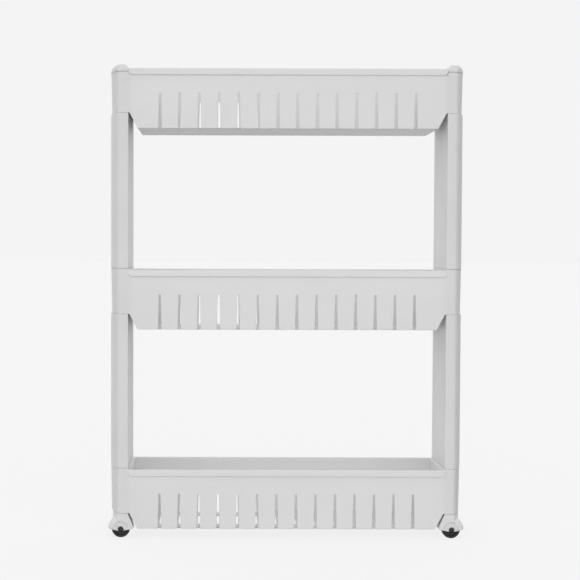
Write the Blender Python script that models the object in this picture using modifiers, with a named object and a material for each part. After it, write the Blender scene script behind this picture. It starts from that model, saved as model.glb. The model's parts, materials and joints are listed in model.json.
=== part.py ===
"""Slim three-tier rolling cart, made for the gap beside a cupboard.

Three moulded trays stand one above another on plug-in end panels. Two rounded caps close the ends
of the top tray, and four fixed side-on casters carry the bottom tray, so the cart rolls lengthways.
Frame: X along the cart, Y across it, +Z up. The origin is on the floor under the cart's middle.
"""
import math

import bmesh
import bpy
from mathutils import Matrix

MM = 0.001
GAP = 0.3 * MM                 # clearance between pieces that touch
OVERLAP = 1.0 * MM             # how far a joined or cutting shape runs past a face

# Layout
BOTTOM_RIM = 105 * MM          # height of the bottom tray's rim above the floor
TIER_PITCH = 303 * MM          # rim to rim

# Trays
TRAY_HEIGHT = 90 * MM
TRAY_HALF_DEPTH = 60.5 * MM    # outside of the long walls
WALL = 2.2 * MM
BASIN_HALF = 238.5 * MM        # outside of the basin's end walls
CHAMFER_RUN = 12.5 * MM        # how far the end walls slope inwards below the end blocks
FLOOR = 1.8 * MM               # its underside is level with the slats' lower ends
LIP_HEIGHT = 10 * MM
LIP_OUT = 2.0 * MM             # lip outside the long walls
SLOT_COUNT = 14
SLOT_PITCH = 29.6 * MM
SLOT_WIDTH = 4 * MM
SLOT_TOP = 37 * MM             # top of the wall slots below the rim
FLOOR_SLOT_HALF = 32 * MM      # half-length of the bottom tray's floor slots

# End blocks, panels and caps: D shaped in plan
FLAT_END = 252 * MM            # where the flat front gives way to the rounded end
BLOCK_HEIGHT = 66.5 * MM       # end block's lower edge below the rim
BLOCK_REACH = 269.9 * MM       # outermost point of an end block at the rim
BLOCK_DRAFT = 1.2 * MM         # how much less it reaches at its lower edge
BLOCK_TOP = 2 * MM             # deck of a block that carries a panel, above the rim
CAPPED_BLOCK_TOP = -5 * MM     # deck of a block that carries a cap
DECK = 3 * MM
RIB = 2 * MM
SOCKET_LOW = 10.7 * MM         # socket between two ribs, on both sides of the middle
SOCKET_HIGH = 37.3 * MM
SPIGOT_INNER = 243 * MM
SPIGOT_OUTER = 261 * MM
SPIGOT_HEIGHT = 14 * MM
CAP_SPIGOT_HEIGHT = 4 * MM
PANEL_INNER = 240.3 * MM       # flat inner face of panels and caps
PANEL_REACH = 270.3 * MM
PANEL_HALF_DEPTH = 61 * MM
CAP_TOP = 7 * MM               # top of a cap above the rim
CAP_ROUNDING = 9 * MM
END_STEPS = 12
DOME_STEPS = 4

# Casters
WHEEL_RADIUS = 14 * MM
WHEEL_WIDTH = 13 * MM
WHEEL_X = 251.5 * MM
WHEEL_Y = 49 * MM
HOOD_RADIUS = 19.3 * MM
HOOD_WIDTH = 20 * MM
HOOD_WALL = 2.5 * MM
HOOD_STEPS = 5                 # from the middle of a bulging side to the rim
SKIRT_DROP = 2.8 * MM          # hood's curved lower edge below the axle
SKIRT_RADIUS = 50 * MM
WHEEL_ROOM = 1.5 * MM          # around the tread
ROOM_CHAMFER = 3 * MM
SADDLE_WIDTH = 20.8 * MM       # hood's top, which bears on the end block
SADDLE_SHOULDER = 6.5 * MM     # where its sloping inner side leaves the drum, above the axle
SADDLE_INNER = -10.5 * MM      # its upper inner corner, from the axle
SADDLE_FOOT = 14 * MM          # its outer side's lower end above the axle
STEM_RADIUS = 5 * MM
STEM_TOP = 60 * MM             # height of the stem's tip above the floor
BOSS_RADIUS = 8 * MM
AXLE_RADIUS = 1.5 * MM
AXLE_HEAD_RADIUS = 2.8 * MM
AXLE_HEAD = 1.0 * MM
HUB_CAP_RADIUS = 4.0 * MM
HUB_CAP_DEPTH = 3.0 * MM
HUB_CAP_FLOOR = 1.0 * MM
TURN_STEPS = 24
PIN_STEPS = 16

CHAMFER_RISE = TRAY_HEIGHT - BLOCK_HEIGHT
INNER_HALF_DEPTH = TRAY_HALF_DEPTH - WALL
DECK_INNER = PANEL_INNER - GAP
PANEL_HEIGHT = TIER_PITCH - BLOCK_HEIGHT - BLOCK_TOP - 2 * GAP
SLOT_PLACES = [(i - (SLOT_COUNT - 1) / 2) * SLOT_PITCH for i in range(SLOT_COUNT)]
SIDES = {"left": -1, "right": 1}
DEPTHS = {"front": -1, "back": 1}


def clear_scene():
    """Removes whatever the file holds."""
    for item in list(bpy.data.objects):
        bpy.data.objects.remove(item, do_unlink=True)


def make_collection(name):
    """A collection under the scene's own."""
    group = bpy.data.collections.new(name)
    bpy.context.scene.collection.children.link(group)
    return group


def make_material(name, color, roughness, metallic=0.0):
    """A plain Principled material."""
    material = bpy.data.materials.new(name)
    material.use_nodes = True
    shader = material.node_tree.nodes["Principled BSDF"]
    shader.inputs["Base Color"].default_value = (*color, 1.0)
    shader.inputs["Roughness"].default_value = roughness
    shader.inputs["Metallic"].default_value = metallic
    return material


# ---------------------------------------------------------------- shapes

def shape(name, bm):
    """A working object in the workshop collection, made from a bmesh."""
    mesh = bpy.data.meshes.new(name)
    bm.to_mesh(mesh)
    bm.free()
    item = bpy.data.objects.new(name, mesh)
    item.hide_render = True
    item.display_type = "WIRE"
    WORKSHOP.objects.link(item)
    return item


def evaluated_mesh(item):
    """The object's mesh with its modifiers, as a new mesh."""
    bpy.context.view_layer.update()
    graph = bpy.context.evaluated_depsgraph_get()
    return bpy.data.meshes.new_from_object(item.evaluated_get(graph))


def box(low, high):
    """A box between two corners."""
    bm = bmesh.new()
    size = [b - a for a, b in zip(low, high)]
    middle = [(a + b) / 2 for a, b in zip(low, high)]
    matrix = Matrix.Translation(middle) @ Matrix.Diagonal((*size, 1.0))
    bmesh.ops.create_cube(bm, size=1.0, matrix=matrix)
    return shape("box", bm)


def rod(radius, low, high, place=(0.0, 0.0), tip=None, steps=TURN_STEPS):
    """An upright round bar, or a taper that ends in the radius given as tip."""
    bm = bmesh.new()
    middle = Matrix.Translation((place[0], place[1], (low + high) / 2))
    bmesh.ops.create_cone(bm, cap_ends=True, segments=steps, radius1=radius,
                          radius2=radius if tip is None else tip, depth=high - low, matrix=middle)
    return shape("rod", bm)


def slab(outline, low, high, upright=False):
    """A plan outline extruded along Z, or an X-Z outline extruded along Y when upright."""
    curve = bpy.data.curves.new("outline", "CURVE")
    curve.dimensions = "2D"
    curve.fill_mode = "BOTH"
    curve.extrude = (high - low) / 2
    spline = curve.splines.new("POLY")
    spline.points.add(len(outline) - 1)
    for point, (u, v) in zip(spline.points, outline):
        point.co = (u, v, 0.0, 1.0)
    spline.use_cyclic_u = True
    guide = bpy.data.objects.new("outline", curve)
    WORKSHOP.objects.link(guide)
    middle = (low + high) / 2
    if upright:
        guide.location = (0.0, middle, 0.0)
        guide.rotation_euler = (math.pi / 2, 0.0, 0.0)
    else:
        guide.location = (0.0, 0.0, middle)
    bm = bmesh.new()
    bm.from_mesh(evaluated_mesh(guide))
    bm.transform(guide.matrix_world)
    bmesh.ops.remove_doubles(bm, verts=bm.verts, dist=0.01 * MM)
    bmesh.ops.recalc_face_normals(bm, faces=bm.faces)
    bpy.data.objects.remove(guide, do_unlink=True)
    return shape("slab", bm)


def turned(profile, steps):
    """A profile of (radius, height) points turned about Z, run down its outer side."""
    bm = bmesh.new()
    points = [bm.verts.new((radius, 0.0, height)) for radius, height in profile]
    closed = profile[0][0] > 0
    for start, end in zip(points, points[1:]):
        bm.edges.new((start, end))
    if closed:
        bm.edges.new((points[-1], points[0]))
    item = shape("turned", bm)
    screw = item.modifiers.new("Turn", "SCREW")
    screw.steps = steps
    screw.render_steps = steps
    screw.use_merge_vertices = True
    screw.merge_threshold = 0.01 * MM
    screw.use_smooth_shade = True
    item.data = evaluated_mesh(item)
    item.modifiers.clear()
    return item


def together(shapes):
    """One working object from several that don't touch."""
    bm = bmesh.new()
    for item in shapes:
        bm.from_mesh(item.data)
        bpy.data.objects.remove(item, do_unlink=True)
    return shape("group", bm)


def boolean(target, operation, *shapes):
    """Joins shapes to the target, or cuts them out of it, and uses them up."""
    tool = together(shapes)
    modifier = target.modifiers.new("Boolean", "BOOLEAN")
    modifier.operation = operation
    modifier.solver = "EXACT"
    modifier.object = tool
    target.data = evaluated_mesh(target)
    target.modifiers.clear()
    bpy.data.objects.remove(tool, do_unlink=True)


def end_outline(inner, reach, half_depth, low=None, high=None, side=1):
    """Plan of a D-shaped end, or of the strip of it between two depths."""
    low = -half_depth if low is None else low
    high = half_depth if high is None else high
    start = math.asin(low / half_depth)
    turn = math.asin(high / half_depth) - start
    steps = max(3, round(END_STEPS * turn / math.pi))
    points = [(inner, low)]
    for i in range(steps + 1):
        angle = start + turn * i / steps
        points.append((FLAT_END + (reach - FLAT_END) * math.cos(angle), half_depth * math.sin(angle)))
    points.append((inner, high))
    return [(side * x, y) for x, y in points]


def end_cells(inner, reach, half_depth, low, high, side, sockets=True):
    """The hollows of a block or panel, with ribs between them.

    Spigots fit two of the five. Where nothing plugs in, one wide hollow takes the middle three's place.
    """
    middle = [(-SOCKET_HIGH, SOCKET_HIGH)]
    if sockets:
        middle = [(-SOCKET_HIGH, -SOCKET_LOW), (RIB - SOCKET_LOW, SOCKET_LOW - RIB),
                  (SOCKET_LOW, SOCKET_HIGH)]
    outer = SOCKET_HIGH + RIB
    strips = [(-half_depth, -outer), *middle, (outer, half_depth)]
    return [slab(end_outline(inner, reach, half_depth, a, b, side), low, high) for a, b in strips]


def spigots(deck, height, side):
    """The two plugs that stand on a deck and fit the sockets of the piece above."""
    plugs = []
    for depth in DEPTHS.values():
        xs = sorted((side * SPIGOT_INNER, side * SPIGOT_OUTER))
        ys = sorted((depth * (SOCKET_LOW + GAP), depth * (SOCKET_HIGH - GAP)))
        plugs.append(box((xs[0], ys[0], deck - OVERLAP), (xs[1], ys[1], deck + height)))
    return plugs


# ---------------------------------------------------------------- trays

def tray_blank(top):
    """The whole outer form of a tray, with rounded ends that draw in slightly towards the floor."""
    right = end_outline(BASIN_HALF, BLOCK_REACH, TRAY_HALF_DEPTH)[1:-1]
    outline = right + [(-x, y) for x, y in reversed(right)]
    blank = slab(outline, -TRAY_HEIGHT, top)
    draft = BLOCK_DRAFT * TRAY_HEIGHT / BLOCK_HEIGHT / (BLOCK_REACH - FLAT_END)
    bm = bmesh.new()
    bm.from_mesh(blank.data)
    for vertex in bm.verts:
        beyond = abs(vertex.co.x) - FLAT_END
        if beyond > 0.0 and vertex.co.z < 0.0:
            vertex.co.x = math.copysign(FLAT_END + beyond * (1.0 - draft), vertex.co.x)
    bmesh.ops.triangulate(bm, faces=bm.faces)
    bm.to_mesh(blank.data)
    bm.free()
    return blank


def under_end(side):
    """The space below an end block and outside the sloping end wall."""
    low = -TRAY_HEIGHT - 5 * MM
    slope = CHAMFER_RUN / CHAMFER_RISE
    outer = BASIN_HALF + 2 * (BLOCK_REACH - BASIN_HALF)
    outline = [(BASIN_HALF, -BLOCK_HEIGHT), (outer, -BLOCK_HEIGHT), (outer, low),
               (BASIN_HALF + (low + BLOCK_HEIGHT) * slope, low)]
    return slab([(side * x, z) for x, z in outline], -PANEL_HALF_DEPTH - OVERLAP,
                PANEL_HALF_DEPTH + OVERLAP, upright=True)


def basin():
    """The inside of a tray, with its sloping ends."""
    slope = CHAMFER_RUN / CHAMFER_RISE
    aslant = WALL * math.hypot(CHAMFER_RUN, CHAMFER_RISE) / CHAMFER_RISE
    end = BASIN_HALF - WALL
    bend = -BLOCK_HEIGHT + (aslant - WALL) / slope
    floor = FLOOR - TRAY_HEIGHT
    floor_end = end + (floor - bend) * slope
    right = [(end, 5 * MM), (end, bend), (floor_end, floor)]
    outline = right + [(-x, z) for x, z in reversed(right)]
    return slab(outline, -INNER_HALF_DEPTH, INNER_HALF_DEPTH, upright=True)


def wall_slots():
    """The upright slots between the slats of both long walls, open at the lower edge."""
    slots = []
    for x in SLOT_PLACES:
        for depth in DEPTHS.values():
            ys = sorted((depth * (INNER_HALF_DEPTH - GAP), depth * (TRAY_HALF_DEPTH + OVERLAP)))
            slots.append(box((x - SLOT_WIDTH / 2, ys[0], -TRAY_HEIGHT - OVERLAP),
                             (x + SLOT_WIDTH / 2, ys[1], -SLOT_TOP)))
    return slots


def floor_cuts():
    """The slots through the bottom tray's floor, in line with the wall slots."""
    low = -TRAY_HEIGHT - OVERLAP
    high = -TRAY_HEIGHT + FLOOR + OVERLAP
    return [box((x - SLOT_WIDTH / 2, -FLOOR_SLOT_HALF, low), (x + SLOT_WIDTH / 2, FLOOR_SLOT_HALF, high))
            for x in SLOT_PLACES]


def lips():
    """The band along the top of each long wall, from end block to end block."""
    bands = []
    for depth in DEPTHS.values():
        ys = sorted((depth * (TRAY_HALF_DEPTH - OVERLAP), depth * (TRAY_HALF_DEPTH + LIP_OUT)))
        bands.append(box((-DECK_INNER, ys[0], -LIP_HEIGHT), (DECK_INNER, ys[1], 0.0)))
    return bands


def above_rim(block_top):
    """What is cut away above the rim, between high blocks or over low ones."""
    outer = BLOCK_REACH + OVERLAP
    depth = TRAY_HALF_DEPTH + OVERLAP
    if block_top > 0:
        return [box((-DECK_INNER, -depth, 0.0), (DECK_INNER, depth, block_top + OVERLAP))]
    return [box((DECK_INNER, -depth, block_top), (outer, depth, OVERLAP)),
            box((-outer, -depth, block_top), (-DECK_INNER, depth, OVERLAP))]


def caster_bosses(tray, block_top):
    """Four tubes under the end blocks' decks that take the casters' stems."""
    bosses = []
    bores = []
    for side in SIDES.values():
        for depth in DEPTHS.values():
            place = (side * WHEEL_X, depth * WHEEL_Y)
            bosses.append(rod(BOSS_RADIUS, -BLOCK_HEIGHT + OVERLAP, block_top - DECK / 2, place))
            bores.append(rod(STEM_RADIUS + GAP, -BLOCK_HEIGHT, STEM_TOP + OVERLAP - BOTTOM_RIM, place))
    boolean(tray, "UNION", *bosses)
    boolean(tray, "DIFFERENCE", *bores)


def make_tray(rim, block_top, spigot_height, over_casters):
    """One tray: a slotted basin between two hollow end blocks, with plugs on their decks.

    Over the casters the floor has slots, and the blocks have stem bosses instead of sockets.
    """
    tray = tray_blank(max(block_top, 0.0))
    boolean(tray, "DIFFERENCE", *above_rim(block_top))
    boolean(tray, "DIFFERENCE", *[under_end(side) for side in SIDES.values()])
    boolean(tray, "UNION", *lips())
    boolean(tray, "DIFFERENCE", basin())
    boolean(tray, "DIFFERENCE", *wall_slots())
    cell_reach = BLOCK_REACH - BLOCK_DRAFT - WALL
    for side in SIDES.values():
        boolean(tray, "DIFFERENCE", *end_cells(BASIN_HALF, cell_reach, INNER_HALF_DEPTH,
                                               -BLOCK_HEIGHT - OVERLAP, block_top - DECK, side,
                                               sockets=not over_casters))
        boolean(tray, "UNION", *spigots(block_top, spigot_height, side))
    if over_casters:
        boolean(tray, "DIFFERENCE", *floor_cuts())
        caster_bosses(tray, block_top)
    tray.location.z = rim
    return tray


# ---------------------------------------------------------------- panels and caps

def make_panel():
    """A right-hand end panel standing on Z = 0: hollow, open below, with plugs on its top deck."""
    panel = slab(end_outline(PANEL_INNER, PANEL_REACH, PANEL_HALF_DEPTH), 0.0, PANEL_HEIGHT)
    boolean(panel, "DIFFERENCE", *end_cells(PANEL_INNER + WALL, PANEL_REACH - WALL, PANEL_HALF_DEPTH - WALL,
                                            -OVERLAP, PANEL_HEIGHT - DECK, 1))
    boolean(panel, "UNION", *spigots(PANEL_HEIGHT, SPIGOT_HEIGHT, 1))
    return panel


def domed(low, height, wall):
    """A D-shaped block with its whole top edge rounded, a wall's thickness inside the cap's surface."""
    rounding = CAP_ROUNDING - wall
    rings = [(wall, low)]
    for i in range(DOME_STEPS + 1):
        angle = math.pi / 2 * i / DOME_STEPS
        rings.append((wall + rounding * (1 - math.cos(angle)), height - rounding * (1 - math.sin(angle))))
    bm = bmesh.new()
    loops = []
    for inset, z in rings:
        outline = end_outline(PANEL_INNER + inset, PANEL_REACH - inset, PANEL_HALF_DEPTH - inset)
        loops.append([bm.verts.new((x, y, z)) for x, y in outline])
    for lower, upper in zip(loops, loops[1:]):
        for i, vertex in enumerate(lower):
            bm.faces.new((lower[i - 1], vertex, upper[i], upper[i - 1]))
    bm.faces.new(reversed(loops[0]))
    bm.faces.new(loops[-1])
    bmesh.ops.triangulate(bm, faces=bm.faces)
    return shape("domed", bm)


def make_end_cap():
    """A right-hand cap standing on Z = 0: a shallow hollow D-shaped cover with a well-rounded top."""
    height = CAP_TOP - CAPPED_BLOCK_TOP - GAP
    cap = domed(0.0, height, 0.0)
    boolean(cap, "DIFFERENCE", domed(-OVERLAP, height - WALL, WALL))
    return cap


# ---------------------------------------------------------------- casters, about an axle along Z

def bulging_drum():
    """A drum about Z whose sides bulge: a superellipse turned about its axis."""
    profile = []
    for i in range(2 * HOOD_STEPS + 1):
        angle = math.pi / 2 * i / HOOD_STEPS
        across = max(math.sin(angle), 0.0) ** (2 / 3)
        along = math.copysign(abs(math.cos(angle)) ** (2 / 3), HOOD_STEPS - i)
        profile.append((HOOD_RADIUS * across if 0 < i < 2 * HOOD_STEPS else 0.0, HOOD_WIDTH / 2 * along))
    return turned(profile, TURN_STEPS)


def wheel_room():
    """The space for the wheel inside the drum, with its corners taken off."""
    radius = WHEEL_RADIUS + WHEEL_ROOM
    half = HOOD_WIDTH / 2 - HOOD_WALL
    side = [(0.0, half), (radius - ROOM_CHAMFER, half), (radius, half - ROOM_CHAMFER)]
    return turned(side + [(across, -along) for across, along in reversed(side)], TURN_STEPS)


def saddle(seat, depth):
    """The hood's top, cut to the end block's rounded plan, with its inner side sloping off the drum."""
    beyond = BLOCK_REACH - WHEEL_X
    inner = -math.sqrt(HOOD_RADIUS ** 2 - SADDLE_SHOULDER ** 2) + GAP
    outline = [(inner, SADDLE_SHOULDER), (SADDLE_INNER, seat), (beyond, seat), (beyond, SADDLE_FOOT),
               (0.0, SADDLE_SHOULDER)]
    top = slab(outline, -SADDLE_WIDTH / 2, SADDLE_WIDTH / 2, upright=True)
    plan = slab(end_outline(BASIN_HALF - HOOD_RADIUS, BLOCK_REACH - BLOCK_DRAFT, TRAY_HALF_DEPTH),
                0.0, seat + OVERLAP)
    plan.data.transform(Matrix.Translation((-WHEEL_X, -depth * WHEEL_Y, 0.0)))
    boolean(top, "INTERSECT", plan)
    return top


def make_hood(depth):
    """A right-hand hood, front or back: a drum over the wheel, a saddle on it and a stem on top.

    It is made about the axle at the origin, with the axle along Y.
    """
    lay = Matrix.Rotation(math.pi / 2, 4, "X")
    hood = bulging_drum()
    room = wheel_room()
    hole = rod(AXLE_RADIUS + GAP, -HOOD_WIDTH, HOOD_WIDTH, steps=PIN_STEPS)
    skirt = rod(SKIRT_RADIUS, -HOOD_WIDTH, HOOD_WIDTH, steps=2 * TURN_STEPS)
    for item in (hood, room, hole, skirt):
        item.data.transform(lay)
    skirt.data.transform(Matrix.Translation((0.0, 0.0, SKIRT_RADIUS - SKIRT_DROP)))
    seat = BOTTOM_RIM - BLOCK_HEIGHT - GAP - WHEEL_RADIUS
    boolean(hood, "UNION", saddle(seat, depth))
    boolean(hood, "DIFFERENCE", room)
    boolean(hood, "INTERSECT", skirt)
    boolean(hood, "DIFFERENCE", hole)
    stem_top = STEM_TOP - WHEEL_RADIUS
    boolean(hood, "UNION", rod(STEM_RADIUS, seat - OVERLAP, stem_top, tip=0.8 * STEM_RADIUS))
    return hood


def make_wheel():
    """A one-piece wheel with a dished side and a rounded tread, bored for the axle."""
    half = WHEEL_WIDTH / 2
    bore = AXLE_RADIUS + GAP
    side = [(bore, half), (0.36 * WHEEL_RADIUS, half), (0.42 * WHEEL_RADIUS, 0.72 * half),
            (0.70 * WHEEL_RADIUS, 0.72 * half), (0.77 * WHEEL_RADIUS, half),
            (0.93 * WHEEL_RADIUS, 0.96 * half), (WHEEL_RADIUS, 0.75 * half)]
    return turned(side + [(radius, -height) for radius, height in reversed(side)], TURN_STEPS)


def make_axle():
    """A headed steel pin: its head is below, its plain end above, inside the hub cap."""
    low = -HOOD_WIDTH / 2 - GAP
    high = HOOD_WIDTH / 2 + GAP + HUB_CAP_DEPTH - HUB_CAP_FLOOR - GAP
    return turned([(0.0, high), (AXLE_RADIUS, high), (AXLE_RADIUS, low), (AXLE_HEAD_RADIUS, low),
                   (AXLE_HEAD_RADIUS, low - AXLE_HEAD), (0.0, low - AXLE_HEAD)], PIN_STEPS)


def make_hub_cap():
    """A domed push-on cap with a blind bore for the axle's end."""
    low = HOOD_WIDTH / 2 + GAP
    high = low + HUB_CAP_DEPTH
    bore = AXLE_RADIUS + GAP
    shoulder = 0.45 * HUB_CAP_DEPTH
    return turned([(0.0, high), (0.55 * HUB_CAP_RADIUS, high - 0.12 * HUB_CAP_DEPTH),
                   (0.88 * HUB_CAP_RADIUS, high - 0.4 * HUB_CAP_DEPTH),
                   (HUB_CAP_RADIUS, high - shoulder), (HUB_CAP_RADIUS, low), (bore, low),
                   (bore, high - HUB_CAP_FLOOR), (0.0, high - HUB_CAP_FLOOR)], TURN_STEPS)


# ---------------------------------------------------------------- assembly

def place(name, mesh, material, location=(0.0, 0.0, 0.0), rotation=(0.0, 0.0, 0.0), parent=None):
    """Puts a named copy of a finished mesh in the cart's collection."""
    item = bpy.data.objects.new(name, mesh)
    item.location = location
    item.rotation_euler = rotation
    item.parent = parent
    if not mesh.materials:
        mesh.materials.append(material)
    CART.objects.link(item)
    return item


def finished(item):
    """Takes the mesh of a working object, shades it and removes the object."""
    mesh = item.data
    mesh.name = item.name
    mesh.materials.clear()
    mesh.shade_smooth()
    mesh.set_sharp_from_angle(angle=math.radians(30))
    bpy.data.objects.remove(item, do_unlink=True)
    return mesh


def place_trays(plastic):
    """The three trays; the top one has low decks for the caps, the bottom one has caster bosses."""
    kinds = {"bottom_tray": (BLOCK_TOP, SPIGOT_HEIGHT, True),
             "middle_tray": (BLOCK_TOP, SPIGOT_HEIGHT, False),
             "top_tray": (CAPPED_BLOCK_TOP, CAP_SPIGOT_HEIGHT, False)}
    for tier, (name, (block_top, spigot_height, with_bosses)) in enumerate(kinds.items()):
        rim = BOTTOM_RIM + tier * TIER_PITCH
        tray = make_tray(rim, block_top, spigot_height, with_bosses)
        place(name, finished(tray), plastic, location=(0.0, 0.0, rim))


def place_ends(plastic):
    """Four equal end panels and two caps; a left-hand one is a right-hand one turned about Z."""
    panel = finished(make_panel())
    cap = finished(make_end_cap())
    top_rim = BOTTOM_RIM + 2 * TIER_PITCH
    for side_name, side in SIDES.items():
        turn = (0.0, 0.0, 0.0 if side > 0 else math.pi)
        for tier, tier_name in enumerate(("lower", "upper")):
            base = BOTTOM_RIM + tier * TIER_PITCH + BLOCK_TOP + GAP
            place(f"{tier_name}_{side_name}_panel", panel, plastic, (0.0, 0.0, base), turn)
        place(f"{side_name}_end_cap", cap, plastic, (0.0, 0.0, top_rim + CAPPED_BLOCK_TOP + GAP), turn)


def place_casters(plastic, black, steel):
    """Four casters; each one hangs on an empty at the middle of its axle, with its cap outwards.

    A left-hand hood is the right-hand one of the other long side, turned about Z.
    """
    hoods = {depth: finished(make_hood(depth)) for depth in DEPTHS.values()}
    wheel = finished(make_wheel())
    axle = finished(make_axle())
    hub_cap = finished(make_hub_cap())
    for side_name, side in SIDES.items():
        for depth_name, depth in DEPTHS.items():
            corner = f"{depth_name}_{side_name}"
            centre = bpy.data.objects.new(f"{corner}_axle_centre", None)
            centre.location = (side * WHEEL_X, depth * WHEEL_Y, WHEEL_RADIUS)
            CART.objects.link(centre)
            outwards = (-depth * math.pi / 2, 0.0, 0.0)
            turn = (0.0, 0.0, 0.0 if side > 0 else math.pi)
            place(f"{corner}_caster_hood", hoods[side * depth], plastic, rotation=turn, parent=centre)
            place(f"{corner}_wheel", wheel, black, rotation=outwards, parent=centre)
            place(f"{corner}_axle", axle, steel, rotation=outwards, parent=centre)
            place(f"{corner}_hub_cap", hub_cap, black, rotation=outwards, parent=centre)


clear_scene()
CART = make_collection("rolling_pantry_cart")
WORKSHOP = make_collection("workshop")
PLASTIC = make_material("cart_plastic", (0.70, 0.70, 0.70), 0.45)
BLACK = make_material("wheel_plastic", (0.012, 0.012, 0.013), 0.4)
STEEL = make_material("axle_steel", (0.55, 0.55, 0.56), 0.3, metallic=1.0)
place_trays(PLASTIC)
place_ends(PLASTIC)
place_casters(PLASTIC, BLACK, STEEL)
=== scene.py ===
import json
import math

import bmesh
import bpy
from mathutils import Matrix, Vector


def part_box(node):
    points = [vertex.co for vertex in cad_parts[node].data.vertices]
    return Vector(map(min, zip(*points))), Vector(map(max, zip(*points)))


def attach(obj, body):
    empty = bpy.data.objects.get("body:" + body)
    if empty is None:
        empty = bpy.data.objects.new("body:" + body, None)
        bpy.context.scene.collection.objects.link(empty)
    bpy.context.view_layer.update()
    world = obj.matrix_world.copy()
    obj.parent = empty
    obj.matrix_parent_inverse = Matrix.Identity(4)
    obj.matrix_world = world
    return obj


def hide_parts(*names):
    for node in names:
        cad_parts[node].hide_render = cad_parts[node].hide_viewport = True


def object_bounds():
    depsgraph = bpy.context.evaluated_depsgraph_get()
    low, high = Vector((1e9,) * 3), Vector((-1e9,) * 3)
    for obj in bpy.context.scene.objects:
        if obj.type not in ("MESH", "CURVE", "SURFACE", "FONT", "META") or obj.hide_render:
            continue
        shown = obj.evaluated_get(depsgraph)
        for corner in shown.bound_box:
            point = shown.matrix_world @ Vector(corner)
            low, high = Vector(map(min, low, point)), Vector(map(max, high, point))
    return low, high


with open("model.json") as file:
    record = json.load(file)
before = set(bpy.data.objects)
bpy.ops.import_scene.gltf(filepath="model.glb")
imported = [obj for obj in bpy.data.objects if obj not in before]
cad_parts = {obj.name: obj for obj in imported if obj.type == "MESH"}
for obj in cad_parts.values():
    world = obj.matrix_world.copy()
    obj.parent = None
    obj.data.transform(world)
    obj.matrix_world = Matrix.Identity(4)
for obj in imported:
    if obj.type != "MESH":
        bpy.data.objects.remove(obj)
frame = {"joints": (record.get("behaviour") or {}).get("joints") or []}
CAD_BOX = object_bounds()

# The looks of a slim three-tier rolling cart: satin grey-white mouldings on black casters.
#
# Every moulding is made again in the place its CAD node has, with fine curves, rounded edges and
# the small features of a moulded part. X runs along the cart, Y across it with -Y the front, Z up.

MM = 0.001
BOTH = (-1, 1)
GAP = 0.3 * MM                 # clearance between pieces that touch
OVERRUN = 1 * MM               # how far a joined or cutting form runs past a face

# Trays
TRAY_HEIGHT = 90 * MM
WALL = 2.2 * MM
BASIN_HALF = 238.5 * MM        # outside of the basin's end walls
CHAMFER_RUN = 12.5 * MM        # how far the end walls slope inwards below the end blocks
FLOOR = 1.8 * MM               # its underside is level with the slats' lower ends
BASIN_CORNER = 2 * MM
LIP_HEIGHT = 10 * MM
LIP_OUT = 2 * MM               # lip outside the long walls
LIP_BEND = 6 * MM              # how the lip's lower corners run out at the end blocks
SLOT_COUNT = 14
SLOT_PITCH = 29.6 * MM
SLOT_WIDTH = 4 * MM
SLOT_TAPER = 0.5 * MM          # a wall slot is narrower than that by it at its top, and wider at its foot
SLOT_TOP = 37 * MM             # top of the wall slots below the rim
FLOOR_SLOT_HALF = 32 * MM      # half-length of the bottom tray's floor slots
SLAT_CORNER = 1 * MM

# End blocks, panels and caps: D shaped in plan
FLAT_END = 252 * MM            # where the flat front gives way to the rounded end
BLOCK_HEIGHT = 66.5 * MM       # end block's lower edge below the rim
BLOCK_DRAFT = 1.2 * MM         # how much less a block reaches at its lower edge
BLOCK_TOP = 2 * MM             # deck of a block that carries a panel, above the rim
CAPPED_BLOCK_TOP = -5 * MM     # deck of a block that carries a cap
DECK = 3 * MM
RIB = 2 * MM
SOCKET_LOW = 10.7 * MM         # socket between two ribs, on both sides of the middle
SOCKET_HIGH = 37.3 * MM
SPIGOT_INNER = 243 * MM
SPIGOT_OUTER = 261 * MM
SPIGOT_HEIGHT = 14 * MM
CAP_SPIGOT_HEIGHT = 4 * MM
CAP_ROUNDING = 9 * MM

# Casters
HOOD_WIDTH = 20 * MM
HOOD_RADIUS = 19.3 * MM
HOOD_WALL = 2.5 * MM
DRUM_POWER = 0.5               # of its sine and cosine: 1 is an ellipse, less is fuller
HOOD_BOSS = 6.9 * MM           # radius of the flat boss round the axle
HOOD_RING = 11.4 * MM          # outer radius of the sunk ring round the boss
RING_DEPTH = 0.45 * MM
RING_RAMP = 0.5 * MM           # width of the ring's two sloping sides
SKIRT_DROP = 2.8 * MM          # hood's curved lower edge below the axle
SKIRT_RADIUS = 50 * MM
WHEEL_ROOM = 1.5 * MM          # around the tread
ROOM_CHAMFER = 3 * MM
SADDLE_WIDTH = 20.8 * MM       # hood's top, which bears on the end block
SADDLE_SHOULDER = 6.5 * MM     # where its sloping inner side leaves the drum, above the axle
SADDLE_INNER = -10.5 * MM      # its upper inner corner, from the axle
CHEEK_END = 215                # where the cheeks' edge leaves the drum below the axle, in degrees
STEM_RADIUS = 5 * MM
STEM_BORE = 22.5 * MM          # depth of the stem's bore in the tray
STEM_RINGS = 4
BOSS_RADIUS = 8 * MM
AXLE_RADIUS = 1.5 * MM
WHEEL_SPOKES = 8
SPOKE_HALF = 0.6 * MM          # half a spoke's width
SPOKE_SUNK = 0.8 * MM          # spoke's face below the hub's
SPOKE_OVERLAP = 0.5 * MM       # how far a spoke runs into the hub, the rim and the web
HUB_SHARE = 0.38               # wheel's hub and the inside of its rim, as shares of its radius
RIM_SHARE = 0.74
WEB_SHARE = 0.55               # web's thickness as a share of the wheel's
TREAD_SHOULDER = 1.6 * MM
TREAD_CROWN = 0.3 * MM         # how much less the radius is at the shoulders
HOOD_EDGE = 0.6 * MM           # radius of a hood's rounded edges
WHEEL_EDGE = 0.25 * MM
HUB_CAP_EDGE = 0.15 * MM

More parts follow.
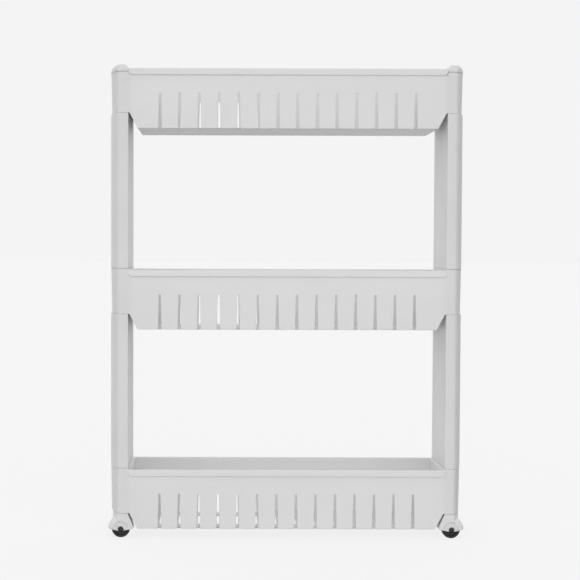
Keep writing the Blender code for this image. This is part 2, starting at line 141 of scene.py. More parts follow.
# Fineness
END_STEPS = 40                 # along a rounded end
DOME_STEPS = 8
DRUM_STEPS = 12                # from the middle of a hood's bulging side to its rim
TURN_STEPS = 64
PIN_STEPS = 32
ARC_STEPS = 6
EDGE_RADIUS = 0.8 * MM         # outer edges of the mouldings
INNER_SHARE = 0.5              # inner corners, as a share of that
SEAM_SHARE = 0.4               # edges where two mouldings meet
SHARP = math.radians(32)       # edges that turn more than this are rounded
SEAM_REACH = 0.05 * MM         # how near a seam's height an edge of it is
BEVEL_WEIGHT = "bevel_weight_edge"

SLOT_PLACES = [(i - (SLOT_COUNT - 1) / 2) * SLOT_PITCH for i in range(SLOT_COUNT)]
CHAMFER_RISE = TRAY_HEIGHT - BLOCK_HEIGHT
DECK_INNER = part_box("upper_right_panel")[0].x - GAP


# ---------------------------------------------------------------- mesh helpers

def piece(name, bm):
    """An object in the scene made from a bmesh, which is used up."""
    mesh = bpy.data.meshes.new(name)
    bm.to_mesh(mesh)
    bm.free()
    item = bpy.data.objects.new(name, mesh)
    bpy.context.scene.collection.objects.link(item)
    return item


def applied(item):
    """The object with its modifiers made part of its mesh."""
    bpy.context.view_layer.update()
    graph = bpy.context.evaluated_depsgraph_get()
    mesh = bpy.data.meshes.new_from_object(item.evaluated_get(graph))
    item.modifiers.clear()
    item.data = mesh
    return item


def slab(outline, low, high, upright=False):
    """A plan outline raised from low to high, or an X-Z outline drawn out along Y when upright."""
    bm = bmesh.new()
    ring = [bm.verts.new((u, low, v) if upright else (u, v, low)) for u, v in outline]
    face = bm.faces.new(ring)
    raised = bmesh.ops.extrude_face_region(bm, geom=[face])["geom"]
    shift = Vector((0, high - low, 0)) if upright else Vector((0, 0, high - low))
    bmesh.ops.translate(bm, verts=[v for v in raised if isinstance(v, bmesh.types.BMVert)], vec=shift)
    bmesh.ops.recalc_face_normals(bm, faces=bm.faces)
    return piece("slab", bm)


def box(low, high):
    """A box between two corners given in any order."""
    xs, ys, zs = (sorted(pair) for pair in zip(low, high))
    return slab([(xs[0], ys[0]), (xs[1], ys[0]), (xs[1], ys[1]), (xs[0], ys[1])], *zs)


def arc(centre, radius, start, end, steps=ARC_STEPS):
    """Points round a centre between two angles in degrees."""
    angles = [math.radians(start + (end - start) * i / steps) for i in range(steps + 1)]
    return [(centre[0] + radius * math.cos(a), centre[1] + radius * math.sin(a)) for a in angles]


def circle(centre, radius, steps=PIN_STEPS):
    """A closed round outline."""
    return arc(centre, radius, 0, 360, steps)[:-1]


def turned(profile, steps=TURN_STEPS):
    """A profile of (radius, height) points turned about Z, run down its outer side."""
    bm = bmesh.new()
    points = [bm.verts.new((radius, 0, height)) for radius, height in profile]
    closed = profile[0][0] > 0
    for start, end in zip(points, points[1:] + points[:1] if closed else points[1:]):
        bm.edges.new((start, end))
    item = piece("turned", bm)
    screw = item.modifiers.new("Turn", "SCREW")
    screw.steps = steps
    screw.render_steps = steps
    screw.use_merge_vertices = True
    screw.merge_threshold = 0.01 * MM
    return applied(item)


def transformed(item, matrix):
    """The object with its mesh moved, so that its own place stays at the origin."""
    item.data.transform(matrix)
    return item


def joined(items):
    """One object from several that don't touch."""
    bm = bmesh.new()
    for item in items:
        bm.from_mesh(item.data)
        bpy.data.objects.remove(item, do_unlink=True)
    return piece("group", bm)


def boolean(target, operation, items):
    """Joins forms to the target, or cuts them out of it, and uses them up."""
    tool = joined(items)
    modifier = target.modifiers.new("Boolean", "BOOLEAN")
    modifier.operation = operation
    modifier.solver = "EXACT"
    modifier.object = tool
    applied(target)
    bpy.data.objects.remove(tool, do_unlink=True)
    return target


def tidied(item):
    """The object without the seams that a Boolean leaves across flat faces."""
    bm = bmesh.new()
    bm.from_mesh(item.data)
    bmesh.ops.remove_doubles(bm, verts=bm.verts, dist=0.002 * MM)
    bmesh.ops.dissolve_limit(bm, angle_limit=math.radians(0.2), verts=bm.verts, edges=bm.edges)
    bm.to_mesh(item.data)
    bm.free()
    return item


def bevelled(item, radius, segments, seams=(), hidden=None):
    """The object with its sharp edges rounded, and less so in inner corners and along seams.

    A seam is the height of a face that meets another moulding. Edges between two points for which
    hidden is true stay sharp.
    """
    bm = bmesh.new()
    bm.from_mesh(item.data)
    weight = bm.edges.layers.float.new(BEVEL_WEIGHT)
    for edge in bm.edges:
        turn = edge.calc_face_angle_signed(0)
        if abs(turn) < SHARP or (hidden and all(hidden(vertex.co) for vertex in edge.verts)):
            continue
        edge[weight] = 1 if turn > 0 else INNER_SHARE
        heights = [vertex.co.z for vertex in edge.verts]
        if any(abs(height - seam) < SEAM_REACH for seam in seams for height in heights):
            if abs(heights[0] - heights[1]) < SEAM_REACH:
                edge[weight] = SEAM_SHARE
    bm.to_mesh(item.data)
    bm.free()
    bevel = item.modifiers.new("Edges", "BEVEL")
    bevel.width = radius
    bevel.segments = segments
    bevel.limit_method = "WEIGHT"
    bevel.use_clamp_overlap = False
    bevel.miter_outer = "MITER_ARC"
    applied(item)
    item.data.attributes.remove(item.data.attributes[BEVEL_WEIGHT])
    return item


def shaded(item):
    """The object shaded smooth between its sharp edges, with its large flat faces kept flat."""
    item.data.shade_smooth()
    item.data.set_sharp_from_angle(angle=SHARP)
    item.modifiers.new("Normals", "WEIGHTED_NORMAL").keep_sharp = True
    return applied(item)


def rounded(item, radius=EDGE_RADIUS, segments=3, seams=(), hidden=None):
    """The object with rounded edges, shaded smooth."""
    return shaded(bevelled(item, radius, segments, seams, hidden))


# ---------------------------------------------------------------- plan of the D-shaped ends

def end_outline(inner, reach, half_depth, low=None, high=None, side=1):
    """Plan of a D-shaped end, or of the strip of it between two depths."""
    low = -half_depth if low is None else low
    high = half_depth if high is None else high
    start = math.asin(low / half_depth)
    turn = math.asin(high / half_depth) - start
    steps = max(4, round(END_STEPS * turn / math.pi))
    points = [(inner, low)]
    for i in range(steps + 1):
        angle = start + turn * i / steps
        points.append((FLAT_END + (reach - FLAT_END) * math.cos(angle), half_depth * math.sin(angle)))
    points.append((inner, high))
    return [(side * x, y) for x, y in points]


def end_cells(inner, reach, half_depth, low, high, side, sockets=True):
    """The hollows of a block or panel, with ribs between them.

    Spigots fit two of the five. Where nothing plugs in, one wide hollow takes the middle three's place.
    """
    middle = [(-SOCKET_HIGH, SOCKET_HIGH)]
    if sockets:
        middle = [(-SOCKET_HIGH, -SOCKET_LOW), (RIB - SOCKET_LOW, SOCKET_LOW - RIB),
                  (SOCKET_LOW, SOCKET_HIGH)]
    outer = SOCKET_HIGH + RIB
    strips = [(-half_depth, -outer), *middle, (outer, half_depth)]
    return [slab(end_outline(inner, reach, half_depth, a, b, side), low, high) for a, b in strips]


def spigots(deck, height, side):
    """The two plugs that stand on a deck."""
    return [box((side * SPIGOT_INNER, depth * (SOCKET_LOW + GAP), deck - OVERRUN),
                (side * SPIGOT_OUTER, depth * (SOCKET_HIGH - GAP), deck + height)) for depth in BOTH]


# ---------------------------------------------------------------- trays

def wall_slot(x, depth, inner, outer):
    """One upright slot, wider towards its open lower end, where the slats' corners are rounded."""
    top = SLOT_WIDTH / 2 - SLOT_TAPER
    foot = SLOT_WIDTH / 2 + SLOT_TAPER
    corner = foot + SLAT_CORNER
    low = SLAT_CORNER - TRAY_HEIGHT
    end = -TRAY_HEIGHT - OVERRUN
    outline = [(x + corner, end)] + arc((x + corner, low), SLAT_CORNER, 270, 180)
    outline += arc((x, -SLOT_TOP - top), top, 0, 180, 2 * ARC_STEPS)
    outline += arc((x - corner, low), SLAT_CORNER, 0, -90) + [(x - corner, end)]
    return slab(outline, *sorted((depth * inner, depth * outer)), upright=True)


def floor_slot(x, low, high):
    """One slot across the floor with round ends."""
    half = SLOT_WIDTH / 2
    reach = FLOOR_SLOT_HALF - half
    return slab(arc((x, reach), half, 0, 180) + arc((x, -reach), half, 180, 360), low, high)


def lip(depth, half_depth):
    """The band along the top of a long wall; its lower corners run out in a curve at the end blocks."""
    low = LIP_BEND - LIP_HEIGHT
    outline = arc((DECK_INNER - LIP_BEND, low), LIP_BEND, -90, 0) + [(DECK_INNER, 0), (-DECK_INNER, 0)]
    outline += arc((LIP_BEND - DECK_INNER, low), LIP_BEND, 180, 270)
    ys = sorted((depth * (half_depth - OVERRUN), depth * (half_depth + LIP_OUT)))
    return slab(outline, *ys, upright=True)


def basin(inner_half):
    """The inside of a tray, with its sloping ends and rounded corners."""
    slope = CHAMFER_RUN / CHAMFER_RISE
    aslant = WALL * math.hypot(CHAMFER_RUN, CHAMFER_RISE) / CHAMFER_RISE
    end = BASIN_HALF - WALL
    bend = -BLOCK_HEIGHT + (aslant - WALL) / slope
    floor = FLOOR - TRAY_HEIGHT
    right = [(end, 5 * MM), (end, bend), (end + (floor - bend) * slope, floor)]
    inside = slab(right + [(-x, z) for x, z in reversed(right)], -inner_half, inner_half, upright=True)
    return bevelled(inside, BASIN_CORNER, 4)


def under_end(side, half_depth):
    """The space below an end block and outside the sloping end wall."""
    low = -TRAY_HEIGHT - 5 * MM
    foot = BASIN_HALF + (low + BLOCK_HEIGHT) * CHAMFER_RUN / CHAMFER_RISE
    outer = 2 * FLAT_END - BASIN_HALF + 20 * MM
    outline = [(BASIN_HALF, -BLOCK_HEIGHT), (outer, -BLOCK_HEIGHT), (outer, low), (foot, low)]
    return slab([(side * x, z) for x, z in outline], -half_depth - OVERRUN, half_depth + OVERRUN,
                upright=True)


def above_rim(deck, reach, half_depth):
    """What is cut away above the rim, between high blocks or over low ones."""
    depth = half_depth + OVERRUN
    if deck > 0:
        return [box((-DECK_INNER, -depth, 0), (DECK_INNER, depth, 2 * deck))]
    return [box((side * DECK_INNER, -depth, deck), (side * (reach + OVERRUN), depth, OVERRUN))
            for side in BOTH]


def drafted(item, reach):
    """Draws the rounded ends in slightly towards their lower edges."""
    share = BLOCK_DRAFT / BLOCK_HEIGHT / (reach - FLAT_END)
    for vertex in item.data.vertices:
        beyond = abs(vertex.co.x) - FLAT_END
        if beyond > 0 and vertex.co.z < 0:
            vertex.co.x = math.copysign(FLAT_END + beyond * (1 + share * vertex.co.z), vertex.co.x)
    return item


def add_stem_bosses(tray, deck):
    """Four tubes under the end blocks' decks that take the casters' stems."""
    places = [joint["pos_m"][:2] for joint in frame["joints"]]
    low = -BLOCK_HEIGHT
    boolean(tray, "UNION", [slab(circle(place, BOSS_RADIUS), low + OVERRUN, deck - DECK / 2)
                            for place in places])
    boolean(tray, "DIFFERENCE", [slab(circle(place, STEM_RADIUS + GAP), low - OVERRUN, low + STEM_BORE)
                                 for place in places])


def make_tray(node, deck, spigot_height, over_casters):
    """A tray moulding in its node's place: a slotted basin between two hollow end blocks."""
    low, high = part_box(node)
    rim = low.z + TRAY_HEIGHT
    reach = high.x
    half_depth = high.y - LIP_OUT
    inner_half = half_depth - WALL
    right = end_outline(BASIN_HALF, reach, half_depth)[1:-1]
    tray = slab(right + [(-x, -y) for x, y in right], -TRAY_HEIGHT, max(deck, 0))
    boolean(tray, "DIFFERENCE", above_rim(deck, reach, half_depth))
    boolean(tray, "DIFFERENCE", [under_end(side, half_depth) for side in BOTH])
    boolean(tray, "UNION", [lip(depth, half_depth) for depth in BOTH])
    boolean(tray, "DIFFERENCE", [basin(inner_half)])
    slots = [wall_slot(x, depth, inner_half - BASIN_CORNER - OVERRUN, half_depth + OVERRUN)
             for x in SLOT_PLACES for depth in BOTH]
    if over_casters:
        slots += [floor_slot(x, -TRAY_HEIGHT - OVERRUN, FLOOR + OVERRUN - TRAY_HEIGHT) for x in SLOT_PLACES]
    boolean(tray, "DIFFERENCE", slots)
    for side in BOTH:
        boolean(tray, "DIFFERENCE", end_cells(BASIN_HALF, reach - WALL, inner_half, -BLOCK_HEIGHT - OVERRUN,
                                              deck - DECK, side, sockets=not over_casters))
        boolean(tray, "UNION", spigots(deck, spigot_height, side))
    if over_casters:
        add_stem_bosses(tray, deck)

    def in_cell(point):
        """Whether a point is inside an end block, on the walls of its hollows."""
        inside = abs(point.x) > BASIN_HALF - SEAM_REACH and abs(point.y) < inner_half + SEAM_REACH
        return inside and SEAM_REACH - BLOCK_HEIGHT < point.z < deck - DECK / 2

    rounded(tidied(tray), seams=(deck, -BLOCK_HEIGHT), hidden=in_cell)
    drafted(tray, reach)
    return transformed(tray, Matrix.Translation((0, 0, rim)))


# ---------------------------------------------------------------- panels and caps

def facing(side):
    """The turn about Z that makes a right-hand piece a left-hand one."""
    return Matrix.Rotation(0 if side > 0 else math.pi, 4, "Z")


def make_panel(node, side):
    """An end panel in its node's place: hollow, open below, with plugs on its top deck."""
    low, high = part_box(node)
    inner = min(abs(low.x), abs(high.x))
    reach = max(abs(low.x), abs(high.x))
    height = high.z - low.z - SPIGOT_HEIGHT
    panel = bevelled(slab(end_outline(inner, reach, high.y), 0, height), EDGE_RADIUS, 3, seams=(0, height))
    boolean(panel, "DIFFERENCE", end_cells(inner + WALL, reach - WALL, high.y - WALL, -OVERRUN,
                                           height - DECK, 1))
    boolean(panel, "UNION", spigots(height, SPIGOT_HEIGHT, 1))
    return transformed(shaded(tidied(panel)), Matrix.Translation((0, 0, low.z)) @ facing(side))


def domed(size, low, height, wall):
    """A D-shaped block with its whole top edge rounded, a wall's thickness inside the cap's surface."""
    inner, reach, half_depth = size
    rounding = CAP_ROUNDING - wall
    rings = [(wall, low)]
    for i in range(DOME_STEPS + 1):
        angle = math.pi / 2 * i / DOME_STEPS
        rings.append((wall + rounding * (1 - math.cos(angle)), height - rounding * (1 - math.sin(angle))))
    bm = bmesh.new()
    loops = []
    for inset, z in rings:
        outline = end_outline(inner + inset, reach - inset, half_depth - inset)
        loops.append([bm.verts.new((x, y, z)) for x, y in outline])
    for lower, upper in zip(loops, loops[1:]):
        for i, vertex in enumerate(lower):
            bm.faces.new((lower[i - 1], vertex, upper[i], upper[i - 1]))
    bm.faces.new(reversed(loops[0]))
    bm.faces.new(loops[-1])
    return piece("domed", bm)


def make_end_cap(node, side):
    """An end cap in its node's place: a shallow hollow D-shaped cover with a well-rounded top."""
    low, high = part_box(node)
    size = (min(abs(low.x), abs(high.x)), max(abs(low.x), abs(high.x)), high.y)
    height = high.z - low.z
    cap = bevelled(domed(size, 0, height, 0), EDGE_RADIUS, 3, seams=(0,))
    boolean(cap, "DIFFERENCE", [domed(size, -OVERRUN, height - WALL, WALL)])
    return transformed(shaded(cap), Matrix.Translation((0, 0, low.z)) @ facing(side))


# ---------------------------------------------------------------- casters

def drum():
    """A hood's drum about Z: a superellipse, fuller than an ellipse, turned about its axis."""
    half = HOOD_WIDTH / 2
    side = []
    for i in range(DRUM_STEPS + 1):
        angle = math.pi / 2 * i / DRUM_STEPS
        across = HOOD_RADIUS * math.sin(angle) ** DRUM_POWER
        side.append((across, half * max(math.cos(angle), 0) ** DRUM_POWER))
    return turned(side + [(radius, -height) for radius, height in reversed(side[:-1])])


def hub_stamp(face):
    """What a hood's cheek loses round the axle, about Z: a flat boss is left inside a sunk ring."""
    flat = HOOD_WIDTH / 2
    die = turned([(0, 2 * flat), (HOOD_RING, 2 * flat), (HOOD_RING, flat),
                  (HOOD_RING - RING_RAMP, flat - RING_DEPTH), (HOOD_BOSS + RING_RAMP, flat - RING_DEPTH),
                  (HOOD_BOSS, flat), (0, flat)])
    return transformed(die, Matrix.Rotation(0 if face > 0 else math.pi, 4, "X"))


def wheel_room(wheel_radius):
    """The space for the wheel inside the drum, with its corners taken off."""
    radius = wheel_radius + WHEEL_ROOM
    half = HOOD_WIDTH / 2 - HOOD_WALL
    side = [(0, half), (radius - ROOM_CHAMFER, half), (radius, half - ROOM_CHAMFER)]
    return turned(side + [(across, -along) for across, along in reversed(side)])


def saddle(seat, place, depth):
    """The hood's seat and its two flat cheeks, cut to the end block's rounded plan.

    The inner side slopes down from the seat to the drum and follows it.
    """
    tray_low, tray_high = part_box("bottom_tray")
    radius = HOOD_RADIUS - GAP
    slope = (SADDLE_INNER + math.sqrt(radius ** 2 - SADDLE_SHOULDER ** 2)) / (seat - SADDLE_SHOULDER)
    top = seat + OVERRUN
    beyond = tray_high.x - place.x
    shoulder = 180 - math.degrees(math.asin(SADDLE_SHOULDER / radius))
    outline = [(beyond, top), (beyond, -radius * math.sin(math.radians(CHEEK_END - 180)))]
    outline += arc((0, 0), radius, CHEEK_END, shoulder, 4 * ARC_STEPS)
    outline += [(SADDLE_INNER + slope * (top - seat), top)]
    block = slab(outline, -SADDLE_WIDTH / 2, SADDLE_WIDTH / 2, upright=True)
    plan = slab(end_outline(BASIN_HALF - HOOD_RADIUS, tray_high.x - BLOCK_DRAFT, tray_high.y - LIP_OUT),
                -2 * HOOD_RADIUS, seat)
    transformed(plan, Matrix.Translation((-place.x, -depth * place.y, 0)))
    return boolean(block, "INTERSECT", [plan])


def stem(seat, top):
    """The tapered peg on top of a hood, with a rounded tip and shallow gripping rings."""
    length = top - seat
    profile = [(0, top), (0.7 * STEM_RADIUS, top), (0.8 * STEM_RADIUS, top - 0.5 * MM)]
    for i in range(STEM_RINGS):
        radius = STEM_RADIUS * (0.82 + 0.16 * i / STEM_RINGS)
        height = top - length * (i + 1) / (STEM_RINGS + 1)
        profile += [(radius, height + 0.8 * MM), (radius - 0.25 * MM, height), (radius, height - 0.4 * MM)]
    profile += [(STEM_RADIUS, seat + MM), (STEM_RADIUS, seat - OVERRUN), (0, seat - OVERRUN)]
    return turned(profile, PIN_STEPS)


def make_hood(corner, side, depth, place, wheel_radius):
    """A caster's hood in its place: a drum over the wheel, a saddle on it and a stem on top.

    It is made as a right-hand one about the axle at the origin, with the axle along Y.
    """
    node = corner + "_caster_hood"
    right_depth = side * depth
    lay = Matrix.Rotation(math.pi / 2, 4, "X")
    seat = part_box("bottom_tray")[0].z + CHAMFER_RISE - GAP - place.z
    hood = transformed(drum(), lay)
    boolean(hood, "UNION", [saddle(seat, Vector(map(abs, place)), right_depth)])
    boolean(hood, "DIFFERENCE", [transformed(wheel_room(wheel_radius), lay)])
    boolean(hood, "DIFFERENCE", [transformed(hub_stamp(face), lay) for face in BOTH])
    skirt = circle((0, SKIRT_RADIUS - SKIRT_DROP), SKIRT_RADIUS, 4 * TURN_STEPS)
    boolean(hood, "INTERSECT", [slab(skirt, -HOOD_WIDTH, HOOD_WIDTH, upright=True)])
    hole = circle((0, 0), AXLE_RADIUS + GAP)
    boolean(hood, "DIFFERENCE", [slab(hole, -HOOD_WIDTH, HOOD_WIDTH, upright=True)])
    boolean(hood, "UNION", [stem(seat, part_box(node)[1].z - place.z)])
    rounded(tidied(hood), HOOD_EDGE, seams=(seat,))
    return transformed(hood, Matrix.Translation(place) @ facing(side))


def make_wheel(radius, half):
    """A one-piece wheel about Z: a crowned tread, and dished sides with spokes."""
    bore = AXLE_RADIUS + GAP
    hub = HUB_SHARE * radius
    web = WEB_SHARE * half
    rim = RIM_SHARE * radius
    corner = (radius - TREAD_CROWN - TREAD_SHOULDER, half - TREAD_SHOULDER)
    side = [(bore, half), (hub, half), (hub + 0.4 * MM, web), (rim - 0.4 * MM, web), (rim, half - 0.2 * MM)]
    side += arc(corner, TREAD_SHOULDER, 90, 0)
    side += [(radius - 0.1 * MM, 0.35 * half), (radius - 0.06 * MM, 0.25 * MM), (radius, 0.12 * MM)]
    wheel = turned(side + [(across, -along) for across, along in reversed(side)])
    spokes = []
    for i in range(WHEEL_SPOKES):
        for face in BOTH:
            spoke = box((hub - SPOKE_OVERLAP, -SPOKE_HALF, face * (web - SPOKE_OVERLAP)),
                        (rim + SPOKE_OVERLAP, SPOKE_HALF, face * (half - SPOKE_SUNK)))
            spokes.append(transformed(spoke, Matrix.Rotation(2 * math.pi * i / WHEEL_SPOKES, 4, "Z")))
    boolean(wheel, "UNION", spokes)
    return rounded(tidied(wheel), WHEEL_EDGE, 2)


def make_axle(low, head_top, high, head_radius):
    """A headed steel pin about Z, its head low down, with a domed head and a chamfered end."""
    dome = head_top - low
    profile = [(0, high), (0.75 * AXLE_RADIUS, high), (AXLE_RADIUS, high - 0.4 * MM)]
    profile += [(AXLE_RADIUS, head_top), (head_radius, head_top), (head_radius, low + 0.6 * dome)]
    for i in range(1, ARC_STEPS + 1):
        angle = math.pi / 2 * i / ARC_STEPS
        profile.append((head_radius * math.cos(angle), low + 0.6 * dome * (1 - math.sin(angle))))
    profile[-1] = (0, low)
    return shaded(turned(profile, PIN_STEPS))


def make_hub_cap(low, high, radius, floor):
    """A domed push-on cap about Z, with a small flange and a blind bore for the axle's end."""
    bore = AXLE_RADIUS + GAP
    flange = low + 0.7 * MM
    body = radius - 0.35 * MM
    shoulder = low + 0.45 * (high - low)
    profile = [(0, high)]
    for i in range(1, 2 * ARC_STEPS + 1):
        angle = math.pi / 2 * (1 - i / (2 * ARC_STEPS))
        profile.append((body * math.cos(angle), shoulder + (high - shoulder) * math.sin(angle)))
    profile += [(body, flange + 0.15 * MM), (radius, flange), (radius, low), (bore, low)]
    profile += [(bore, high - floor), (0, high - floor)]
    return rounded(turned(profile, PIN_STEPS), HUB_CAP_EDGE, 2)


# ---------------------------------------------------------------- materials

class Shader:
    """A node material under construction; its noises are in the piece's own metres."""

    def __init__(self, name, **settings):
        self.material = bpy.data.materials.new(name)
        self.material.use_nodes = True
        self.tree = self.material.node_tree
        self.principled = self.tree.nodes["Principled BSDF"]
        self.place = self.node("ShaderNodeTexCoord").outputs["Object"]
        self.normal = None
        for socket, value in settings.items():
            self.principled.inputs[socket.replace("_", " ")].default_value = value

    def node(self, kind, **inputs):
        """A new node with some of its inputs set or linked."""
        made = self.tree.nodes.new(kind)
        for name, value in inputs.items():
            self.feed(made.inputs[name.replace("_", " ")], value)
        return made

    def feed(self, socket, value):
        """Sets a socket, or links it where the value is another node's output."""
        if isinstance(value, bpy.types.NodeSocket):
            self.tree.links.new(value, socket)
        else:
            socket.default_value = value

    def noise(self, scale, detail=2.0, stretch=(1, 1, 1)):
        """A noise with so many features to a metre, drawn out along an axis where stretch is under 1."""
        mapping = self.node("ShaderNodeMapping", Vector=self.place, Scale=[scale * s for s in stretch])
        made = self.node("ShaderNodeTexNoise", Vector=mapping.outputs[0], Scale=1.0, Detail=detail)
        return made.outputs[0]

    def ranged(self, value, low, high, start=0.3, end=0.7):
        """A value brought from one range to another."""
        made = self.node("ShaderNodeMapRange", Value=value)
        made.inputs["From Min"].default_value = start
        made.inputs["From Max"].default_value = end
        made.inputs["To Min"].default_value = low
        made.inputs["To Max"].default_value = high
        return made.outputs[0]

    def colour(self, amount, first, second):
        """Colours the surface between two colours."""
        ramp = self.node("ShaderNodeValToRGB", Fac=amount)
        ramp.color_ramp.elements[0].color = (*first, 1)
        ramp.color_ramp.elements[1].color = (*second, 1)
        self.feed(self.principled.inputs["Base Color"], ramp.outputs[0])

    def roughness(self, amount):
        """Drives the surface's roughness."""
        self.feed(self.principled.inputs["Roughness"], amount)

    def bump(self, height, depth, strength=1.0):
        """Adds relief of a depth in metres on top of any that is there."""
        made = self.node("ShaderNodeBump", Height=height, Strength=strength, Distance=depth)
        if self.normal:
            self.feed(made.inputs["Normal"], self.normal)
        self.normal = made.outputs[0]
        self.feed(self.principled.inputs["Normal"], self.normal)


def cart_plastic():
    """Satin moulded polypropylene: faint flow marks, an eroded-steel grain and slightly wavy faces."""
    shader = Shader("satin_polypropylene", IOR=1.49, Subsurface_Weight=0.3, Subsurface_Scale=6 * MM,
                    Subsurface_Radius=(1, 1, 1))
    flow = shader.noise(9, 3, stretch=(0.5, 1, 1.6))
    shader.colour(shader.ranged(flow, 0, 1), (0.805, 0.805, 0.807), (0.835, 0.835, 0.836))
    shader.roughness(shader.ranged(shader.noise(160, 3), 0.40, 0.52))
    shader.bump(shader.noise(14, 2, stretch=(0.6, 1, 1)), 0.25 * MM)
    shader.bump(shader.noise(1300, 2), 0.02 * MM)
    return shader.material


def wheel_plastic():
    """Black moulded plastic with a dull grain and a few rubbed, greyer patches."""
    shader = Shader("black_nylon", IOR=1.5)
    shader.colour(shader.ranged(shader.noise(220, 4), 0, 1, 0.45, 0.75), (0.010, 0.010, 0.011),
                  (0.026, 0.026, 0.027))
    shader.roughness(shader.ranged(shader.noise(400, 3), 0.32, 0.52))
    shader.bump(shader.noise(1800, 2), 0.02 * MM)
    return shader.material


def axle_steel():
    """Bright steel with fine turning marks round the pin, which lies along Y."""
    shader = Shader("turned_steel", Metallic=1.0)
    rings = shader.noise(5000, 2, stretch=(0.02, 1, 0.02))
    shader.colour(shader.ranged(rings, 0, 1), (0.50, 0.50, 0.51), (0.62, 0.62, 0.63))
    shader.roughness(shader.ranged(rings, 0.20, 0.36))
    shader.bump(rings, 0.01 * MM)
    return shader.material


# ---------------------------------------------------------------- the cart

def stand_for(item, node, suffix, material, body="cart"):
    """Names a finished piece, gives it its material and its body, and hides the CAD node it stands for."""
    item.name = f"{node}_{suffix}"
    item.data.name = item.name
    item.data.materials.clear()
    item.data.materials.append(material)
    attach(item, body)
    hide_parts(node)


def build_mouldings(plastic):
    """The trays, panels and caps."""
    trays = {"top_tray": (CAPPED_BLOCK_TOP, CAP_SPIGOT_HEIGHT, False),
             "middle_tray": (BLOCK_TOP, SPIGOT_HEIGHT, False),
             "bottom_tray": (BLOCK_TOP, SPIGOT_HEIGHT, True)}
    for node, kind in trays.items():
        stand_for(make_tray(node, *kind), node, "moulding", plastic)
    for name, side in (("left", -1), ("right", 1)):
        for node in (f"upper_{name}_panel", f"lower_{name}_panel"):
            stand_for(make_panel(node, side), node, "moulding", plastic)
        node = f"{name}_end_cap"
        stand_for(make_end_cap(node, side), node, "moulding", plastic)


def build_caster(corner, place, plastic, black, steel):
    """One caster: its hood, wheel, axle and hub cap, with the cap on the cart's outer side."""
    side = math.copysign(1, place.x)
    depth = math.copysign(1, place.y)
    outwards = Matrix.Translation(place) @ Matrix.Rotation(-depth * math.pi / 2, 4, "X")
    wheel_low, wheel_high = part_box(corner + "_wheel")
    wheel_radius = (wheel_high.z - wheel_low.z) / 2
    wheel_half = (wheel_high.y - wheel_low.y) / 2
    hood = make_hood(corner, side, depth, place, wheel_radius)
    stand_for(hood, corner + "_caster_hood", "moulding", plastic)
    wheel = transformed(make_wheel(wheel_radius, wheel_half), outwards)
    stand_for(wheel, corner + "_wheel", "moulding", black, corner + "_wheel")

    axle_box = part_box(corner + "_axle")
    cap_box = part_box(corner + "_hub_cap")
    inner, outer = sorted(depth * (edge.y - place.y) for edge in axle_box)
    head_radius = (axle_box[1].z - axle_box[0].z) / 2
    head_top = -HOOD_WIDTH / 2 - GAP
    axle = transformed(make_axle(inner, head_top, outer, head_radius), outwards)
    stand_for(axle, corner + "_axle", "pin", steel)
    cap_low, cap_high = sorted(depth * (edge.y - place.y) for edge in cap_box)
    cap_radius = (cap_box[1].z - cap_box[0].z) / 2
    cap = make_hub_cap(cap_low, cap_high, cap_radius, cap_high - outer - GAP)
    stand_for(transformed(cap, outwards), corner + "_hub_cap", "dome", black)


PLASTIC = cart_plastic()
BLACK = wheel_plastic()
STEEL = axle_steel()
build_mouldings(PLASTIC)
for joint in frame["joints"]:
    build_caster(joint["child"].removesuffix("_wheel"), Vector(joint["pos_m"]), PLASTIC, BLACK, STEEL)


# ---------------------------------------------------------------- studio

BACKDROP = 0.905               # pale grey of the floor and of what is behind it
FLOOR_HALF = 40                # metres
FLOOR_GREY = 0.12
SHADOW_SHARE = 0.10            # how much of the floor's brightness a shadow can take away
LIGHT_ALL_ROUND = 0.313
LIGHT_FRONT_AND_BACK = 0.735   # more from the front and the back than from the ends
LIGHT_BACK = -0.055            # a little less from the back than from the front
LIGHT_RIGHT = -0.114           # a little less from the right than from the left
LIGHT_ABOVE = 0.37             # more from above than from below
CAMERA_PLACE = (-0.102, -2.0025, 0.441)
CAMERA_TIP = 1.9               # degrees below level
CAMERA_ROLL = -0.18            # degrees
CAMERA_LENS = 79.9
CAMERA_SHIFT = (0.121, 0.0016)


def add_floor():
    """A wide pale floor, which glows, so that only a faint shadow lies on it."""
    corners = ((-1, -1), (1, -1), (1, 1), (-1, 1))
    bm = bmesh.new()
    bm.faces.new([bm.verts.new((x * FLOOR_HALF, y * FLOOR_HALF, 0)) for x, y in corners])
    floor = piece("floor", bm)
    floor.location.z = CAD_BOX[0].z - 0.1 * MM
    floor.visible_diffuse = False
    floor.visible_glossy = False
    material = bpy.data.materials.new("pale_floor")
    material.use_nodes = True
    tree = material.node_tree
    shader = tree.nodes["Principled BSDF"]
    shader.inputs["Base Color"].default_value = (FLOOR_GREY, FLOOR_GREY, FLOOR_GREY, 1)
    shader.inputs["Roughness"].default_value = 1
    shader.inputs["Specular IOR Level"].default_value = 0
    shader.inputs["Emission Color"].default_value = (1, 1, 1, 1)
    shader.inputs["Emission Strength"].default_value = BACKDROP * (1 - SHADOW_SHARE)
    floor.data.materials.append(material)


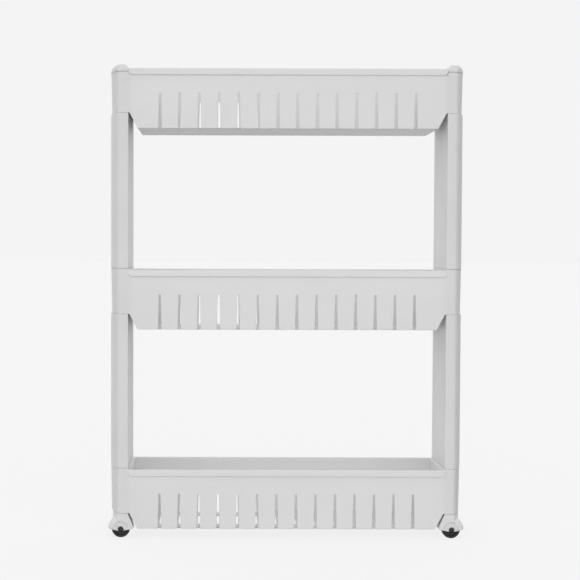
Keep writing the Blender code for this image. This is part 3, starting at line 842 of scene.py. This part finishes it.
def add_light():
    """Soft light from all round: bright in front, behind and above, dimmer from the ends and below.

    Its brightness along a direction is a plain sum of the direction's parts. What the camera sees
    behind the cart is an even pale grey.
    """
    world = bpy.data.worlds.new("studio")
    bpy.context.scene.world = world
    world.use_nodes = True
    tree = world.node_tree
    along = tree.nodes.new("ShaderNodeSeparateXYZ")
    tree.links.new(tree.nodes.new("ShaderNodeTexCoord").outputs["Generated"], along.inputs[0])
    crosswise = tree.nodes.new("ShaderNodeMath")
    crosswise.operation = "ABSOLUTE"
    tree.links.new(along.outputs["Y"], crosswise.inputs[0])
    total = None
    terms = [(crosswise.outputs[0], LIGHT_FRONT_AND_BACK), (along.outputs["Y"], LIGHT_BACK),
             (along.outputs["X"], LIGHT_RIGHT), (along.outputs["Z"], LIGHT_ABOVE)]
    for source, strength in terms:
        add = tree.nodes.new("ShaderNodeMath")
        add.operation = "MULTIPLY_ADD"
        add.inputs[1].default_value = strength
        add.inputs[2].default_value = LIGHT_ALL_ROUND
        tree.links.new(source, add.inputs[0])
        if total:
            tree.links.new(total, add.inputs[2])
        total = add.outputs[0]
    light = tree.nodes["Background"]
    tree.links.new(total, light.inputs["Strength"])
    light.inputs["Color"].default_value = (1, 1, 1, 1)
    backdrop = tree.nodes.new("ShaderNodeBackground")
    backdrop.inputs["Color"].default_value = (BACKDROP, BACKDROP, BACKDROP, 1)
    choose = tree.nodes.new("ShaderNodeMixShader")
    seen = tree.nodes.new("ShaderNodeLightPath")
    tree.links.new(seen.outputs["Is Camera Ray"], choose.inputs[0])
    tree.links.new(light.outputs[0], choose.inputs[1])
    tree.links.new(backdrop.outputs[0], choose.inputs[2])
    tree.links.new(choose.outputs[0], tree.nodes["World Output"].inputs["Surface"])


def add_camera():
    """A camera in front of the cart and a little left of its middle, tipped slightly down."""
    camera_data = bpy.data.cameras.new("camera")
    camera = bpy.data.objects.new("camera", camera_data)
    bpy.context.scene.collection.objects.link(camera)
    bpy.context.scene.camera = camera
    camera.location = CAMERA_PLACE
    camera.rotation_euler = (math.radians(90 - CAMERA_TIP), math.radians(CAMERA_ROLL), 0)
    camera_data.lens = CAMERA_LENS
    camera_data.shift_x, camera_data.shift_y = CAMERA_SHIFT


add_floor()
add_light()
add_camera()
bpy.context.scene.view_settings.view_transform = "Standard"
